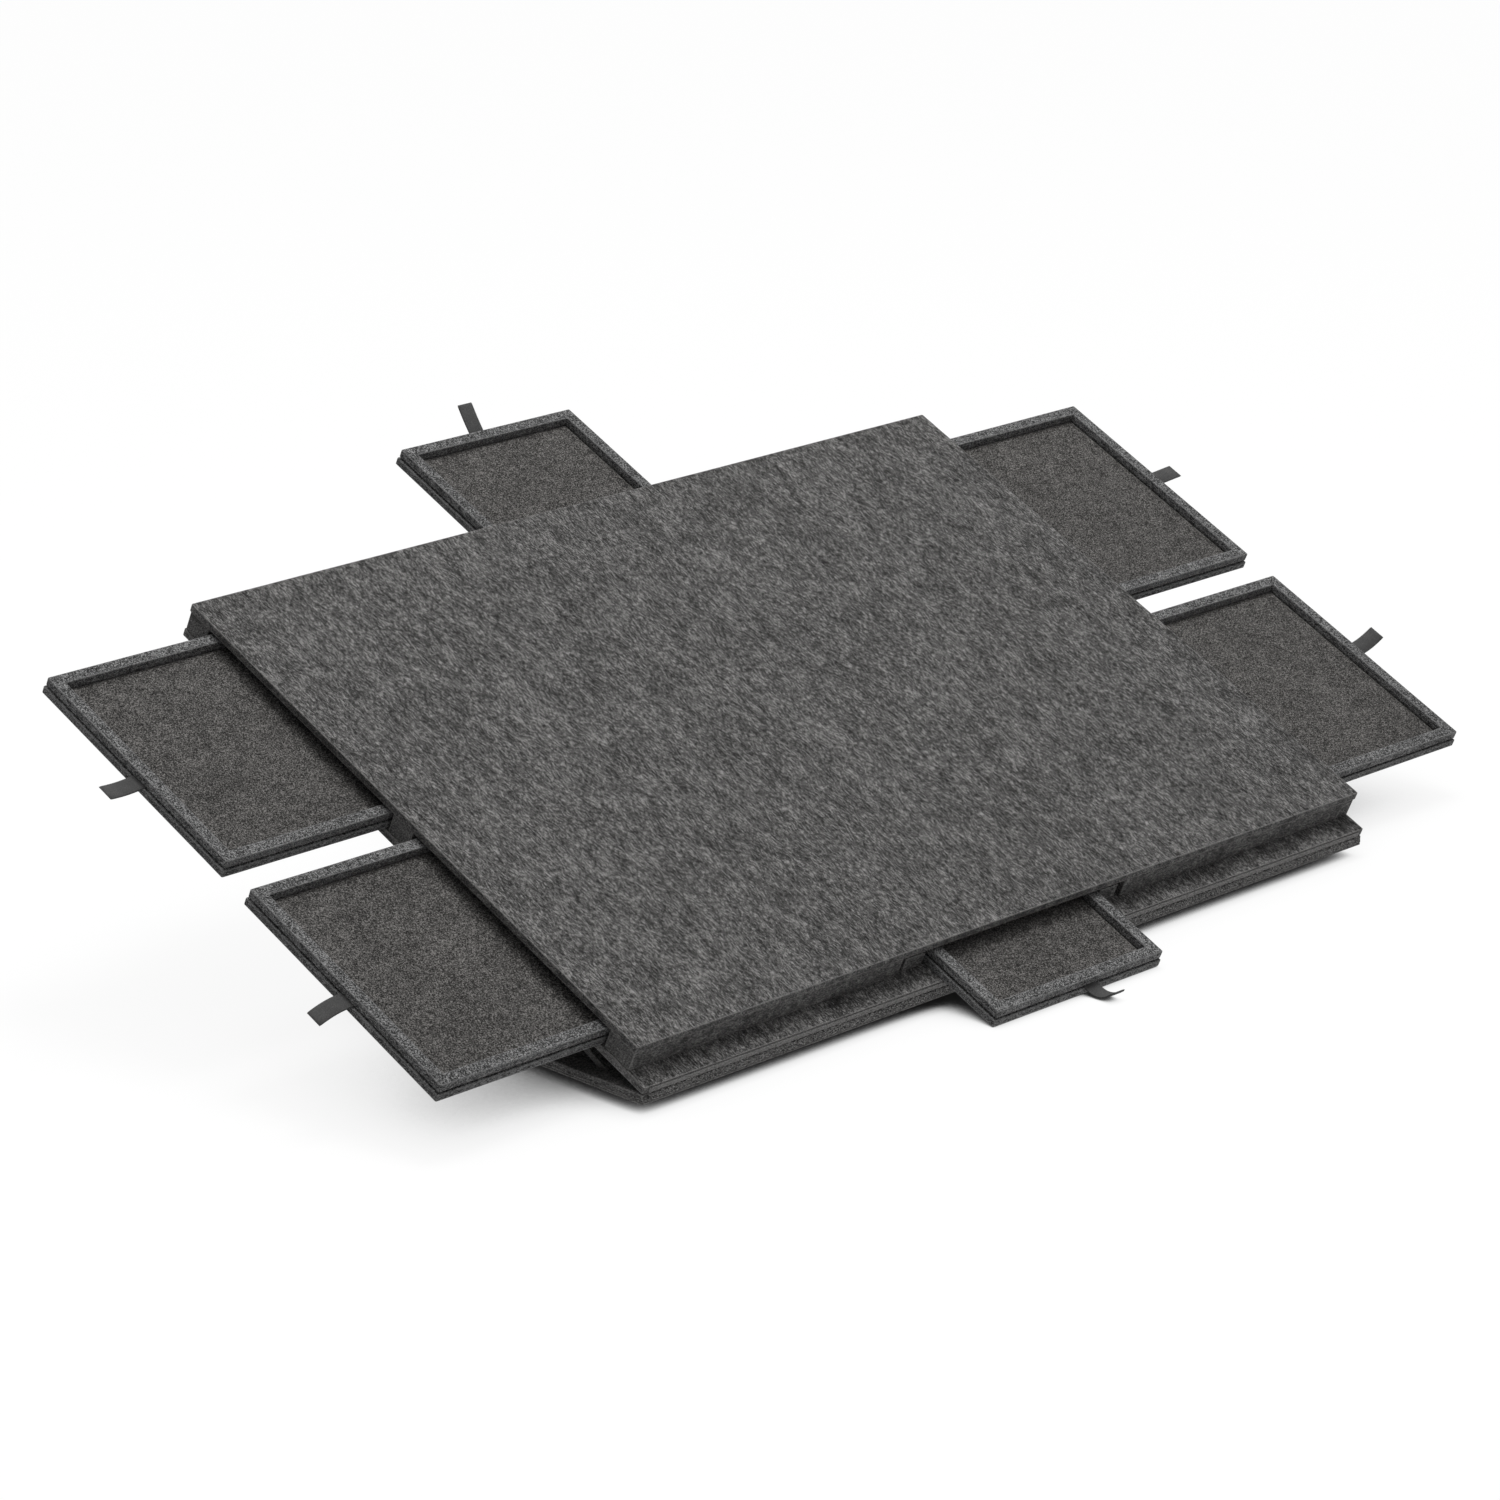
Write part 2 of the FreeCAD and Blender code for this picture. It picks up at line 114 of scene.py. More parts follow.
# Strap pulls: the way out of the drawer, angles above its plane at the root and the tip, and free length
PULLS = {
    "left_back": ((-1, 0), -10, 4, 32 * MM),
    "left_front": ((-1, 0), -4, -30, 31 * MM),
    "right_back": ((1, 0), 8, 6, 31 * MM),
    "right_front": ((1, 0), 10, 45, 31 * MM),
    "front": ((0, -1), -9, 62, 32 * MM),
    "back": ((0, 1), 28, 34, 31 * MM),
}
STRAP_THICKNESS = 1.6 * MM
STRAP_STEPS = 26
STRAP_TUCK = 4.0 * MM
STRAP_EDGE = 0.3 * MM
STRAP_GROOVE = 0.45 * MM
STRAP_FOLD_LEAST = 0.02
STITCH_ROWS = (4.0 * MM, 7.0 * MM)
STITCH_SPACING = 2.4 * MM
STITCH_MARGIN = 2.0 * MM
STITCH_SIZE = (1.7 * MM, 0.5 * MM, 0.4 * MM)

# Beads that are stretched into stitches and ribs
BEAD_SEGMENTS = 8
BEAD_RINGS = 5

# Cloth hinge: steps along the edge, depth of the fold, painted highlight on the upper leaf, and plies of the hems
TAPE_STEPS = 120
TAPE_GAP = 0.15 * MM
FOLD_DEPTH = 0.9 * MM
CASE_LEAF_HIGHLIGHT = 0.75
PLY_SHARES = (0.0, 0.12, 0.42, 0.5, 0.58, 0.88, 1.0)
PLY_SWELLS = (0.0, 0.25 * MM, 0.25 * MM, -0.05 * MM, 0.3 * MM, 0.3 * MM, 0.05 * MM)

# Rubber feet: points of the sole (share of its radius, height) and the wall (radius, share of height)
FOOT_STEPS = 48
FOOT_SOLE = 14 * MM
FOOT_TOP = 16 * MM
FOOT_APART = 2.5 * FOOT_TOP
FOOT_LIP = 0.3 * MM
FOOT_HOLLOW = 1.2 * MM
FOOT_SOLE_POINTS = ((0.0, FOOT_HOLLOW), (0.45, FOOT_HOLLOW), (0.55, FOOT_LIP), (0.68, 0.0),
                    (0.80, 0.0), (0.93, FOOT_LIP), (1.0, FOOT_HOLLOW))
FOOT_WALL_POINTS = ((FOOT_SOLE + 2 * FOOT_LIP, 0.4), (FOOT_TOP - 3 * FOOT_LIP, 0.68),
                    (FOOT_TOP - FOOT_LIP, 0.74), (FOOT_TOP, 0.78))

# Prop flap's round heel and tip, and the ribs of the rubber strip that it leans on
HEEL_STEPS = 10
RIB_SPACING = 5.0 * MM
RIB_MARGIN = 3.0 * MM
RIB_WIDTH = 2.2 * MM
RIB_HEIGHT = 0.5 * MM

# The photograph's camera
CAMERA_PLACE = Vector((-3.0527, -2.8407, 1.5725))
CAMERA_AIM = Vector((0.0220, 0.2983, 0.1104))
CAMERA_LENS = 129.55
CAMERA_SENSOR = 36.0

# Studio light: the sky overhead, near the horizon and below, its lean to the front right, and one lamp
SKY_OVERHEAD = 1.6
SKY_FALL = 4.0
SKY_HORIZON = 0.06
SKY_HORIZON_BLUR = 0.02
SKY_HAZE = 0.5
SKY_HAZE_TOP = 0.2
SKY_BELOW = 0.45
SKY_LEAN = 0.3
KEY_PLACE = Vector((0.2, 0.1, 3.2))
KEY_AIM = Vector((0.0, 0.2, 0.1))
KEY_SIZE = 1.2
KEY_POWER = 36.0

# Floor: its own white, and the shade on it as (share of open sky within reach, light) stops
FLOOR_HALF = 30.0
FLOOR_TONE = 0.10
FLOOR_ROUGHNESS = 0.9
FLOOR_GLOW = 0.92
FLOOR_REACH = 200 * MM
FLOOR_RAYS = 24
FLOOR_SHADES = ((0.10, 0.0), (0.20, 0.40), (0.30, 0.68), (0.37, 0.83),
                (0.45, 0.92), (0.60, 0.97), (0.85, 1.0))


class Shade:
    """A socket of a node tree. Arithmetic on it adds Math nodes, and node() adds any other node."""

    def __init__(self, tree, socket=None):
        self.tree = tree
        self.socket = socket

    def feed(self, socket, value):
        if isinstance(value, Shade):
            self.tree.links.new(value.socket, socket)
        else:
            socket.default_value = value

    def node(self, kind, settings=None, inputs=None, output=0):
        """Adds a node with its settings, then the values or links of its sockets."""
        made = self.tree.nodes.new(kind)
        for name, setting in (settings or {}).items():
            if name == "stops":
                lay_stops(made.color_ramp, setting)
            else:
                setattr(made, name, setting)
        for name, value in (inputs or {}).items():
            self.feed(find_socket(made.inputs, name), value)
        return Shade(self.tree, find_socket(made.outputs, output))

    def math(self, operation, *values):
        return self.node("ShaderNodeMath", {"operation": operation}, dict(enumerate(values)))

    def __add__(self, other):
        return self.math("ADD", self, other)

    def __sub__(self, other):
        return self.math("SUBTRACT", self, other)

    def __rsub__(self, other):
        return self.math("SUBTRACT", other, self)

    def __mul__(self, other):
        return self.math("MULTIPLY", self, other)

    def __pow__(self, other):
        return self.math("POWER", self, other)

    def __abs__(self):
        return self.math("ABSOLUTE", self)

    __radd__ = __add__
    __rmul__ = __mul__

    def sine(self):
        return self.math("SINE", self)

    def clamped(self):
        return self.node("ShaderNodeClamp", None, {"Value": self})

    def coordinate(self, kind):
        return self.node("ShaderNodeTexCoord", None, None, kind)

    def attribute(self, name, output):
        return self.node("ShaderNodeAttribute", {"attribute_name": name}, None, output)

    def axis(self, name):
        """One part, X, Y or Z, of a vector."""
        return self.node("ShaderNodeSeparateXYZ", None, {"Vector": self}, name)

    def turned(self, angles):
        return self.node("ShaderNodeMapping", None, {"Vector": self, "Rotation": angles})

    def spread(self, start, end):
        """Start where this is 0, end where it is 1."""
        return self * (end - start) + start

    def between(self, low, high):
        """0 below low, 1 above high, smooth in between."""
        limits = {"Value": self, "From Min": low, "From Max": high}
        return self.node("ShaderNodeMapRange", {"interpolation_type": "SMOOTHSTEP"}, limits)

    def mixed(self, first, second):
        """The first colour at 0 and the second at 1."""
        ends = {"Factor_Float": self, "A_Color": first, "B_Color": second}
        return self.node("ShaderNodeMix", {"data_type": "RGBA"}, ends, "Result_Color")

    def ramp(self, stops):
        """A colour that follows this value through (place, colour) stops."""
        return self.node("ShaderNodeValToRGB", {"stops": stops}, {"Fac": self}, "Color")

    def noise(self, scale, detail=2.0, roughness=0.6, distortion=0.0):
        """Noise over a vector that is first stretched by scale, in waves per metre."""
        laid = self.node("ShaderNodeMapping", None, {"Vector": self, "Scale": scale})
        shape = {"Vector": laid, "Scale": 1.0, "Detail": detail, "Roughness": roughness,
                 "Distortion": distortion}
        return self.node("ShaderNodeTexNoise", None, shape)

    def swing(self, scale, **shape):
        """The same noise, swinging about 0."""
        return self.noise(scale, **shape) - 0.5

    def bump(self, strength, distance):
        """The normal of a surface with this height."""
        relief = {"Height": self, "Strength": strength, "Distance": distance}
        return self.node("ShaderNodeBump", None, relief, "Normal")


def find_socket(sockets, key):
    if isinstance(key, int):
        return sockets[key]
    return next(s for s in sockets if key in (s.identifier, s.name))


def lay_stops(ramp, stops):
    while len(ramp.elements) < len(stops):
        ramp.elements.new(1.0)
    for element, (place, colour) in zip(ramp.elements, stops):
        element.position = place
        element.color = colour


def grey(value, warmth=0.0):
    return (value * (1 + warmth), value, value * (1 - warmth), 1.0)


def new_material(name, **constants):
    """A material, its principled shader with constants on its sockets, and a Shade that adds nodes to it."""
    material = bpy.data.materials.new(name)
    material.use_nodes = True
    surface = material.node_tree.nodes["Principled BSDF"]
    for socket, value in constants.items():
        surface.inputs[socket.replace("_", " ")].default_value = value
    return material, surface, Shade(material.node_tree)


# Felt: its layers in waves per metre, how much each shows and rises, its greys, and its paler edges, partly from
# handling and partly a painted highlight
SIDE_FIBRES = (520, 520, 1500)
SPECKS = (1700, 1300, 1700)
DRIFTS = 150
PATCHES = (22, 15, 22)
FIBRE_BEND = 0.2
DRIFT_BEND = 0.4
FLAT_LIMITS = (0.55, 0.85)
FIBRE_SHOWS = 1.4
SPECK_SHOWS = 1.1
PATCH_SHOWS = 0.2
FELT_MIDDLE = 0.5
FELT_GREYS = ((0.0, 0.016), (0.3, 0.046), (0.5, 0.090), (0.7, 0.160), (1.0, 0.340))
WEAR_AND_HIGHLIGHT_LIMITS = (0.1, 0.8)
WEAR_AND_HIGHLIGHT_GRAIN = 2.0
WEAR_AND_HIGHLIGHT_SHARE = 0.6
WORN_AND_LIT_GREY = 0.25
FELT_ROUGHNESS = (1.0, 0.85)
SPECK_RISE = 0.5
DRIFT_RISE = 0.4
FELT_RELIEF = 0.4
FELT_LOFT = 0.6 * MM


def felt(name, turn, grain, drawn, contrast, drift, tone=1.0, warmth=0.02):
    """Needled charcoal felt: pale fibres over a dark ground, drawn out along flat faces and lying in thin
    plies on side faces, with soft drifts and paler edges, partly from handling and partly a painted highlight.
    Grain is in fibres per metre."""
    material, surface, shade = new_material(
        name, Specular_IOR_Level=0.12, Sheen_Weight=0.05, Sheen_Roughness=0.5)
    laid = shade.coordinate("Object").turned(turn)
    flat = abs(shade.coordinate("Normal").turned(turn).axis("Z")).between(*FLAT_LIMITS)
    face_fibres = laid.swing((grain, grain / drawn, grain), distortion=FIBRE_BEND)
    side_fibres = laid.swing(SIDE_FIBRES)
    fibres = flat * (face_fibres - side_fibres) + side_fibres
    specks = laid.swing(SPECKS, detail=1.0, roughness=0.5)
    drifts = laid.swing((DRIFTS, DRIFTS / drawn, DRIFTS), distortion=DRIFT_BEND)
    patches = laid.swing(PATCHES, roughness=0.5)
    needled = (fibres * FIBRE_SHOWS + specks * SPECK_SHOWS) * contrast
    pale = needled + drifts * drift + patches * PATCH_SHOWS + FELT_MIDDLE
    ground = pale.ramp([(place, grey(value * tone, warmth)) for place, value in FELT_GREYS])
    # Edges go paler: partly from handling, partly a painted highlight where edges catch the light
    wear_and_highlight_mask = shade.attribute("edge_wear", "Fac").between(*WEAR_AND_HIGHLIGHT_LIMITS)
    wear_and_highlight_share = wear_and_highlight_mask * ((fibres + specks) * WEAR_AND_HIGHLIGHT_GRAIN + WEAR_AND_HIGHLIGHT_SHARE)
    height = fibres + specks * SPECK_RISE + drifts * DRIFT_RISE
    shade.feed(surface.inputs["Base Color"], wear_and_highlight_share.mixed(ground, grey(WORN_AND_LIT_GREY * tone, warmth)))
    shade.feed(surface.inputs["Roughness"], pale.clamped().spread(*FELT_ROUGHNESS))
    shade.feed(surface.inputs["Normal"], height.bump(FELT_RELIEF, FELT_LOFT))
    return material


# Strap weave: ribs, yarn and fading in waves per metre, how much each shows, its greys and its relief
STRAP_RIBS_ALONG = 1100
STRAP_RIBS_ACROSS = 900
STRAP_YARN = (1400, 700, 700)
STRAP_FADE = (60, 60, 60)
WEAVE_SHOWS = 0.4
YARN_SHOWS = 0.6
FADE_SHOWS = 0.35
WEAVE_DARKER = 0.2
STRAP_GREYS = ((0.1, grey(0.0256)), (0.5, grey(0.0768)), (0.95, grey(0.208, 0.02)))
STRAP_ROUGHNESS = (0.95, 0.75)
YARN_RISE = 0.5
WEAVE_RELIEF = 0.6
WEAVE_LOFT = 0.25 * MM


def woven(name):
    """Woven strap that reads its own lengths from the piece's cloth attribute."""
    material, surface, shade = new_material(name, Specular_IOR_Level=0.25, Sheen_Weight=0.1)
    laid = shade.attribute("cloth", "Vector")
    warp = (laid.axis("X") * (STRAP_RIBS_ALONG * math.tau)).sine()
    weft = (laid.axis("Y") * (STRAP_RIBS_ACROSS * math.tau)).sine()
    over = warp * weft * 0.5 + 0.5
    yarn = laid.noise(STRAP_YARN)
    fade = laid.noise(STRAP_FADE, roughness=0.5)
    light = over * WEAVE_SHOWS + yarn * YARN_SHOWS + fade * FADE_SHOWS - WEAVE_DARKER
    shade.feed(surface.inputs["Base Color"], light.ramp(STRAP_GREYS))
    shade.feed(surface.inputs["Roughness"], over.spread(*STRAP_ROUGHNESS))
    shade.feed(surface.inputs["Normal"], (over + yarn * YARN_RISE).bump(WEAVE_RELIEF, WEAVE_LOFT))
    return material


# Rubber: moulded grain and bloom in waves per metre, its greys, and the relief of the grain
RUBBER_GRAIN = (2200, 2200, 2200)
RUBBER_BLOOM = (90, 90, 90)
BLOOM_SHOWS = 0.7
GRAIN_SHOWS = 0.3
RUBBER_GREYS = ((0.3, grey(0.010)), (0.7, grey(0.028, 0.03)))
RUBBER_ROUGHNESS = (0.5, 0.8)
RUBBER_RELIEF = 0.35
RUBBER_LOFT = 0.15 * MM


def rubber(name):
    """Moulded rubber with a fine grain and a duller, paler bloom."""
    material, surface, shade = new_material(name, Specular_IOR_Level=0.4)
    where = shade.coordinate("Object")
    grain = where.noise(RUBBER_GRAIN, detail=1.0, roughness=0.5)
    bloom = where.noise(RUBBER_BLOOM, detail=3.0)
    dull = bloom * BLOOM_SHOWS + grain * GRAIN_SHOWS
    shade.feed(surface.inputs["Base Color"], dull.ramp(RUBBER_GREYS))
    shade.feed(surface.inputs["Roughness"], bloom.spread(*RUBBER_ROUGHNESS))
    shade.feed(surface.inputs["Normal"], grain.bump(RUBBER_RELIEF, RUBBER_LOFT))
    return material


# Steel rod: drawn lines and tarnish in waves per metre, its greys, and the relief of the lines
STEEL_LINES = (40, 4000, 4000)
STEEL_TARNISH = (120, 120, 120)
TARNISH_LIMITS = (0.4, 0.75)
BRIGHT_STEEL = grey(0.55)
DULL_STEEL = grey(0.32, 0.08)
STEEL_ROUGHNESS = (0.15, 0.55)
STEEL_RELIEF = 0.2
STEEL_LOFT = 0.05 * MM


def drawn_steel(name):
    """Drawn steel rod with fine lines along it and a little tarnish."""
    material, surface, shade = new_material(name, Metallic=1.0)
    where = shade.coordinate("Object")
    lines = where.noise(STEEL_LINES)
    tarnish = where.noise(STEEL_TARNISH, detail=3.0)
    colour = tarnish.between(*TARNISH_LIMITS).mixed(BRIGHT_STEEL, DULL_STEEL)
    shade.feed(surface.inputs["Base Color"], colour)
    shade.feed(surface.inputs["Roughness"], ((lines + tarnish) * 0.5).spread(*STEEL_ROUGHNESS))
    shade.feed(surface.inputs["Normal"], lines.bump(STEEL_RELIEF, STEEL_LOFT))
    return material


# Sewing thread: its twist in waves per metre, and its greys
THREAD_TWIST = (3500, 3500, 3500)
DARK_THREAD = grey(0.03)
PALE_THREAD = grey(0.16, 0.02)
THREAD_ROUGHNESS = (0.6, 0.9)


def thread(name):
    """Twisted sewing thread."""
    material, surface, shade = new_material(name, Specular_IOR_Level=0.3)
    twist = shade.coordinate("Object").noise(THREAD_TWIST, detail=1.0, roughness=0.5)
    shade.feed(surface.inputs["Base Color"], twist.mixed(DARK_THREAD, PALE_THREAD))
    shade.feed(surface.inputs["Roughness"], twist.spread(*THREAD_ROUGHNESS))
    return material


CASE_TURN = (-TILT, 0.0, 0.0)
FLAP_TURN = (-LEAN, 0.0, 0.0)
LEVEL = (0.0, 0.0, 0.0)
TOP_FELT = felt("top_felt_streaked", CASE_TURN, grain=700, drawn=2.9, contrast=1.4, drift=0.95)
CASE_FELT = felt("case_felt", CASE_TURN, grain=750, drawn=2.5, contrast=1.35, drift=0.8)
DRAWER_FELT = felt("drawer_felt_speckled", CASE_TURN, grain=800, drawn=1.3, contrast=2.0, drift=0.8,
                   tone=1.08, warmth=0.0)
LINER_FELT = felt("liner_felt_speckled", CASE_TURN, grain=800, drawn=1.2, contrast=1.7, drift=0.6,
                  tone=0.76, warmth=0.04)
BASE_FELT = felt("base_felt", LEVEL, grain=800, drawn=2.0, contrast=1.4, drift=0.6)
FLAP_FELT = felt("flap_felt", FLAP_TURN, grain=800, drawn=2.0, contrast=1.4, drift=0.6)
HINGE_CLOTH = felt("hinge_felted_cloth", LEVEL, grain=900, drawn=1.5, contrast=1.7, drift=0.3, tone=1.25)
STRAP_CLOTH = woven("pull_strap_weave")
RUBBER = rubber("moulded_rubber")
STEEL = drawn_steel("drawn_steel")
THREAD = thread("sewing_thread")


def extent(node, place):
    """Lowest and highest corner of a CAD node in the frame that place turns into the row frame."""
    back = place.inverted()
    points = np.array([back @ v.co for v in nodes[node].data.vertices])
    return Vector(points.min(0)), Vector(points.max(0))


def sharp_edges(bm):
    return [edge for edge in bm.edges if len(edge.link_faces) == 2 and edge.calc_face_angle() > SHARP]


def upright_edges(bm):
    return [e for e in bm.edges if (e.verts[0].co - e.verts[1].co).xy.length < TOUCH]


def at_level(edge, level):
    return all(abs(vert.co.z - level) < TOUCH for vert in edge.verts)


def round_edges(bm, edges, radius, steps=EDGE_STEPS):
    bmesh.ops.bevel(bm, geom=edges, offset=radius, offset_type="OFFSET", segments=steps,
                    profile=0.5, affect="EDGES", clamp_overlap=True)


def edge_lines(edges):
    return [[np.array(vert.co) for vert in edge.verts] for edge in edges]


def mark_wear_and_highlight(bm, lines):
    """Marks each point by how near it lies to the given edges, so that the felt is paler there: partly from
    handling, partly a painted highlight along edges that catch the light.
    """
    wear_and_highlight_layer = bm.verts.layers.float.new("edge_wear")
    points = np.array([vert.co for vert in bm.verts])
    nearest = np.full(len(points), WEAR_AND_HIGHLIGHT_REACH)
    for start, end in lines:
        run = end - start
        share = np.clip((points - start) @ run / (run @ run), 0, 1)
        nearest = np.minimum(nearest, np.linalg.norm(points - start - share[:, None] * run, axis=1))
    for vert, gap in zip(bm.verts, nearest):
        vert[wear_and_highlight_layer] = 1 - gap / WEAR_AND_HIGHLIGHT_REACH


def slice_faces(bm, axis, places):
    """Cuts the faces along planes square to an axis, so that they can swell and dip."""
    across = Vector((0, 0, 0))
    across[axis] = 1
    for place in places:
        everything = bm.verts[:] + bm.edges[:] + bm.faces[:]
        bmesh.ops.bisect_plane(bm, geom=everything, plane_co=across * place, plane_no=across, dist=CUT_TOUCH)


def grid_lines(low, high):
    """Places of the cuts between two ends: close to each end, then evenly in between."""
    if high - low < LEAST_SPAN:
        return []
    count = max(1, round((high - low - 2 * SUPPORT) / FELT_CELL))
    return list(np.linspace(low + SUPPORT, high - SUPPORT, count + 1))


def crease(bm, level):
    """Presses a fine line into the side faces, where two plies of felt meet."""
    slice_faces(bm, 2, (level - CREASE_HALF, level, level + CREASE_HALF))
    bm.normal_update()
    for vert in bm.verts:
        if abs(vert.co.z - level) < TOUCH and abs(vert.normal.z) < SIDE_LEAN:
            vert.co -= vert.normal * CREASE_DEPTH


def dip(bm):
    """Lets the felt sink unevenly below its board's true face."""
    bm.normal_update()
    for vert in bm.verts:
        share = 0.5 + 0.5 * noise.noise(vert.co / DIP_PITCH)
        vert.co -= vert.normal * DIP_DEPTH * min(1.0, max(0.0, share))


def wrapped_board(low, high, edge, corner=0.0, seam=0.0, plies=()):
    """A board wrapped in felt: corners rounded in plan, edges rounded, faces a little uneven.
    A seam is a wider rounding of the upper edges, and plies are the levels of fine lines round its sides."""
    bm = bmesh.new()
    bmesh.ops.create_cube(bm, size=1.0)
    middle, size = (low + high) / 2, high - low
    for vert in bm.verts:
        vert.co = middle + vert.co * size
    lines = edge_lines(bm.edges)
    if corner:
        round_edges(bm, upright_edges(bm), corner, CORNER_STEPS)
    if seam:
        round_edges(bm, [e for e in sharp_edges(bm) if at_level(e, high.z)], seam, SEAM_STEPS)
    round_edges(bm, [e for e in sharp_edges(bm) if not seam or at_level(e, low.z)], edge)
    for axis in range(3):
        slice_faces(bm, axis, grid_lines(low[axis], high[axis]))
    for level in plies:
        crease(bm, level)
    mark_wear_and_highlight(bm, lines)
    dip(bm)
    return bm


def rim_frame(low, high, width):
    """The four strips round a drawer as one felt-covered frame, with a slot under its outside."""
    bm = bmesh.new()
    slot = low.z + RIM_SLOT
    profile = ((0, slot), (0, high.z), (width, high.z), (width, low.z),
               (RIM_SLOT_DEPTH, low.z), (RIM_SLOT_DEPTH, slot))
    rings = []
    for inset, level in profile:
        corners = ((low.x + inset, low.y + inset), (high.x - inset, low.y + inset),
                   (high.x - inset, high.y - inset), (low.x + inset, high.y - inset))
        rings.append([bm.verts.new((x, y, level)) for x, y in corners])
    for first, second in zip(rings, rings[1:] + rings[:1]):
        join_rings(bm, first, second)
    bmesh.ops.recalc_face_normals(bm, faces=bm.faces)

    def outside(edge):
        return all(min(v.co.x - low.x, high.x - v.co.x, v.co.y - low.y, high.y - v.co.y) < DRAWER_CORNER
                   for v in edge.verts)

    # Only the rim's top edges are paled: partly handling, partly a painted highlight
    lines = edge_lines(e for e in sharp_edges(bm) if at_level(e, high.z))
    round_edges(bm, [e for e in upright_edges(bm) if outside(e)], DRAWER_CORNER, RIM_CORNER_STEPS)
    rounded = [e for e in sharp_edges(bm) if at_level(e, high.z) or (outside(e) and at_level(e, slot))]
    round_edges(bm, rounded, RIM_EDGE)
    strip = width - SUPPORT
    for axis in (0, 1):
        start, end = low[axis], high[axis]
        slice_faces(bm, axis, (start + SUPPORT, start + strip, end - strip, end - SUPPORT))
        slice_faces(bm, axis, grid_lines(start + width, end - width))
    slice_faces(bm, 2, (high.z - SUPPORT, slot + SUPPORT))
    mark_wear_and_highlight(bm, lines)
    dip(bm)
    return bm


def join_rings(bm, first, second):
    """Faces between two closed rings of as many points."""
    count = len(first)
    for i in range(count):
        j = (i + 1) % count
        bm.faces.new((first[i], first[j], second[j], second[i]))


def loft(rings, cloth=None):
    """A closed skin through rings of points; cloth gives each point's own lengths for the weave."""
    bm = bmesh.new()
    layer = bm.verts.layers.float_vector.new("cloth") if cloth else None
    made = [[bm.verts.new(point) for point in ring] for ring in rings]
    if cloth:
        for ring, lengths in zip(made, cloth):
            for vert, value in zip(ring, lengths):
                vert[layer] = value
    for first, second in zip(made, made[1:]):
        join_rings(bm, first, second)
    bm.faces.new(made[0])
    bm.faces.new(made[-1][::-1])
    return bm


def keep_piece(name, shape, place, material, slot, *stands_for, body=None):
    """Makes the finished piece from a mesh or a bmesh: smooth, in its place in the row frame, riding on a
    body, which is that of what it stands for unless one is named. A piece given the body blended rides on none."""
    mesh = shape
    if isinstance(shape, bmesh.types.BMesh):
        bmesh.ops.recalc_face_normals(shape, faces=shape.faces)
        mesh = bpy.data.meshes.new(name)
        shape.to_mesh(mesh)
        shape.free()
    mesh.transform(place)
    mesh.shade_smooth()
    if not mesh.materials:
        mesh.materials.append(material)
    piece = bpy.data.objects.new(name, mesh)
    scene.collection.objects.link(piece)
    if stands_for:
        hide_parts(*stands_for)
    if body != "blended":
        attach(piece, body or body_of[stands_for[0]])
    return piece


def beads_tree():
    """Geometry nodes that lay stretched beads along the paths of a mesh of edges."""
    tree = bpy.data.node_groups.new("beads_along_paths", "GeometryNodeTree")
    face = tree.interface
    face.new_socket("Paths", in_out="INPUT", socket_type="NodeSocketGeometry")
    face.new_socket("Spacing", in_out="INPUT", socket_type="NodeSocketFloat")
    face.new_socket("Bead Size", in_out="INPUT", socket_type="NodeSocketVector")
    face.new_socket("Up", in_out="INPUT", socket_type="NodeSocketVector")
    face.new_socket("Finish", in_out="INPUT", socket_type="NodeSocketMaterial")
    face.new_socket("Beads", in_out="OUTPUT", socket_type="NodeSocketGeometry")

    def add(kind, inputs, **settings):
        made = tree.nodes.new(kind)
        for name, setting in settings.items():
            setattr(made, name, setting)
        for name, value in inputs.items():
            socket = find_socket(made.inputs, name)
            if isinstance(value, bpy.types.NodeSocket):
                tree.links.new(value, socket)
            else:
                socket.default_value = value
        return made.outputs

    given = tree.nodes.new("NodeGroupInput").outputs
    curve = add("GeometryNodeMeshToCurve", {"Mesh": given["Paths"]})["Curve"]
    spaced = add("GeometryNodeResampleCurve", {"Curve": curve, "Length": given["Spacing"]},
                 mode="LENGTH")["Curve"]
    unit_bead = {"Segments": BEAD_SEGMENTS, "Rings": BEAD_RINGS, "Radius": 0.5}
    bead = add("GeometryNodeMeshUVSphere", unit_bead)["Mesh"]
    run = add("GeometryNodeInputTangent", {})["Tangent"]
    facing = add("FunctionNodeAxesToRotation", {"Primary Axis": given["Up"], "Secondary Axis": run},
                 primary_axis="Z", secondary_axis="X")["Rotation"]
    placed = add("GeometryNodeInstanceOnPoints", {"Points": spaced, "Instance": bead, "Rotation": facing,
                                                  "Scale": given["Bead Size"]})["Instances"]
    real = add("GeometryNodeRealizeInstances", {"Geometry": placed})["Geometry"]
    dressed = add("GeometryNodeSetMaterial", {"Geometry": real, "Material": given["Finish"]})["Geometry"]
    tree.links.new(dressed, tree.nodes.new("NodeGroupOutput").inputs["Beads"])
    return tree


BEADS = beads_tree()


def mesh_from_tree(tree, start_mesh, **inputs):
    """Runs a geometry node tree on a mesh and returns the plain mesh that it makes."""
    carrier = bpy.data.objects.new("carrier", start_mesh)
    scene.collection.objects.link(carrier)
    modifier = carrier.modifiers.new("tree", "NODES")
    modifier.node_group = tree
    for item in tree.interface.items_tree:
        if item.item_type == "SOCKET" and item.name.replace(" ", "_") in inputs:
            modifier[item.identifier] = inputs[item.name.replace(" ", "_")]
    graph = bpy.context.evaluated_depsgraph_get()
    made = bpy.data.meshes.new_from_object(carrier.evaluated_get(graph))
    bpy.data.objects.remove(carrier)
    return made


